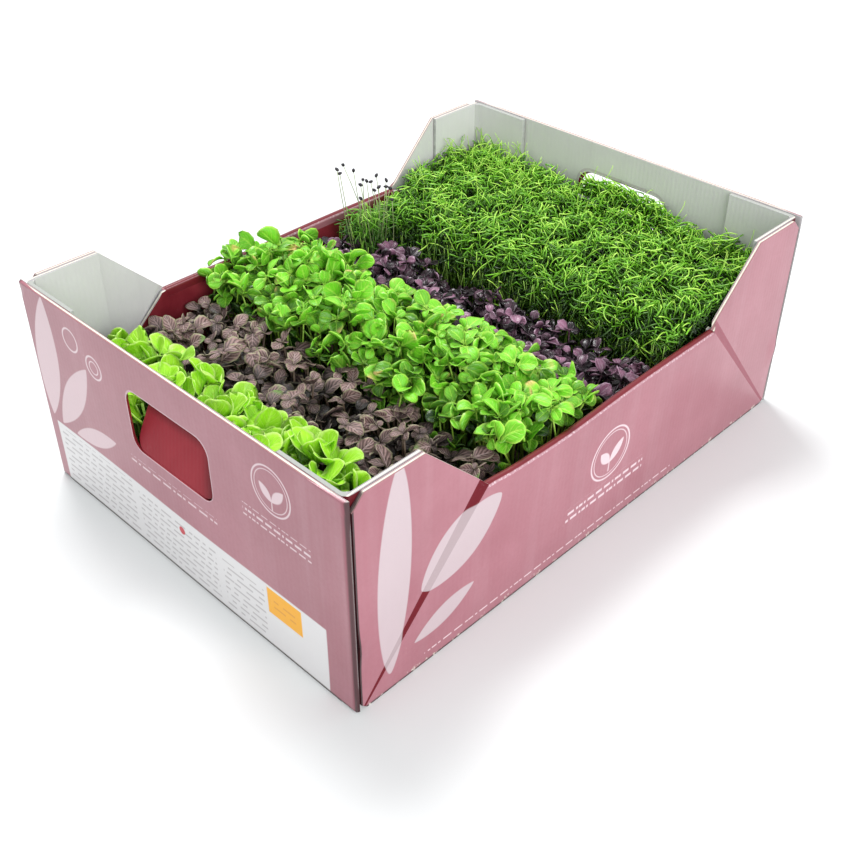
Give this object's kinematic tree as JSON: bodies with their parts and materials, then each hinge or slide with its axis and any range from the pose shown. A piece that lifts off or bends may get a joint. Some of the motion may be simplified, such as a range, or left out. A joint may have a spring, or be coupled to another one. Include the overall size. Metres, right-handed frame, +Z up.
{
  "type": "microgreens tray",
  "caption": "Open board crate with tall hand-holed ends and low sides, filled with rows of living microgreens in shallow growing trays.",
  "frame": {"origin": "middle of the crate's underside, on the surface that it stands on", "axes": "+Z up, +Y along the crate's length towards the back end wall, +X across its width"},
  "size_m": [0.288, 0.401, 0.1555],
  "materials": {
    "printed_board": "glossy print on board, burgundy",
    "printed_lining": "glossy print on board, deep burgundy",
    "plain_board": "plain pale board, satin",
    "dark_plastic": "thin moulded sheet, satin",
    "growing_fibre": "damp rough fibre",
    "pale_green_leaf": "soft leaf, satin",
    "brown_purple_leaf": "soft textured leaf",
    "green_leaf": "soft leaf, satin",
    "dark_purple_leaf": "soft glossy leaf",
    "chive_green": "thin stems with dark seeds",
    "thread_green": "fine curly threads"
  },
  "bodies": {
    "root": {"brown_leaf_bunch_1": "brown_purple_leaf", "brown_leaf_bunch_2": "brown_purple_leaf", "brown_leaf_bunch_3": "brown_purple_leaf", "brown_leaf_bunch_4": "brown_purple_leaf", "chive_bunch": "chive_green", "corner_angle_back_left": "plain_board", "corner_angle_back_right": "plain_board", "corner_angle_front_left": "plain_board", "corner_angle_front_right": "plain_board", "crate_floor": "plain_board", "end_wall_back": "printed_board", "end_wall_front": "printed_board", "growing_mat_1": "growing_fibre", "growing_mat_2": "growing_fibre", "growing_mat_3": "growing_fibre", "growing_mat_4": "growing_fibre", "growing_mat_5": "growing_fibre", "growing_mat_6": "growing_fibre", "growing_tray_1": "dark_plastic", "growing_tray_2": "dark_plastic", "growing_tray_3": "dark_plastic", "growing_tray_4": "dark_plastic", "growing_tray_5": "dark_plastic", "growing_tray_6": "dark_plastic", "hand_hole_flap_back": "printed_lining", "hand_hole_flap_front": "printed_lining", "oval_leaf_bunch_1": "green_leaf", "oval_leaf_bunch_2": "green_leaf", "oval_leaf_bunch_3": "green_leaf", "oval_leaf_bunch_4": "green_leaf", "purple_leaf_bunch_1": "dark_purple_leaf", "purple_leaf_bunch_2": "dark_purple_leaf", "purple_leaf_bunch_3": "dark_purple_leaf", "round_leaf_bunch_1": "pale_green_leaf", "round_leaf_bunch_2": "pale_green_leaf", "round_leaf_bunch_3": "pale_green_leaf", "round_leaf_bunch_4": "pale_green_leaf", "side_lining_left": "printed_lining", "side_lining_right": "printed_lining", "side_wall_left": "printed_board", "side_wall_right": "printed_board", "thread_row_5_bunch_1": "thread_green", "thread_row_5_bunch_2": "thread_green", "thread_row_5_bunch_3": "thread_green", "thread_row_5_bunch_4": "thread_green", "thread_row_6_bunch_1": "thread_green", "thread_row_6_bunch_2": "thread_green", "thread_row_6_bunch_3": "thread_green", "thread_row_6_bunch_4": "thread_green"}
  },
  "joints": []
}
